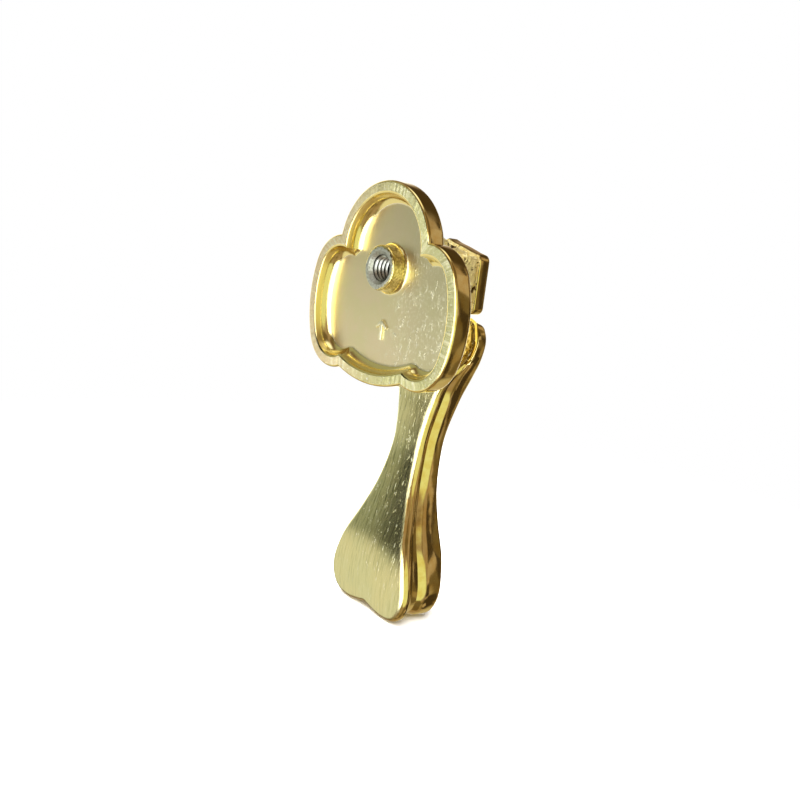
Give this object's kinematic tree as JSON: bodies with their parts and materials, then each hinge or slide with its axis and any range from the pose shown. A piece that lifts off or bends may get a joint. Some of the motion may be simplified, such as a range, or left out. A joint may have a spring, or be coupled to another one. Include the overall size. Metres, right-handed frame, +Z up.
{
  "type": "drop pull",
  "caption": "Gold-plated drop pull for a drawer or door: a lobed dished backplate with a tapped boss, a clevis post and cap, and a bone-shaped pendant on a hinge pin.",
  "frame": {"origin": "the fixing screw's axis where it meets the furniture's face, which the plate's rim and boss stand on", "axes": "+X across the pull, +Y straight out of the furniture towards the user, +Z up with the pendant hanging down"},
  "size_m": [0.034, 0.0178, 0.0676],
  "materials": {
    "gold_plate": "gold plated zinc casting, satin in the recess and polished on the edge",
    "gold_post": "gold plated, as cast",
    "gold_cap": "gold plated, polished",
    "gold_pendant": "gold plated, finely brushed back and polished edges",
    "steel_pin": "plain drawn pin"
  },
  "bodies": {
    "mounted_base": {"backplate": "gold_plate", "hinge_post": "gold_post", "front_cap": "gold_cap", "hinge_pin": "steel_pin"},
    "pendant": {"pendant": "gold_pendant"}
  },
  "joints": [
    {"name": "pendant_lift", "type": "hinge", "parent": "mounted_base", "child": "pendant", "pos_m": [0, 0.0149, 0.0005], "axis": [1, 0, 0], "range_deg": [0, 90]}
  ]
}
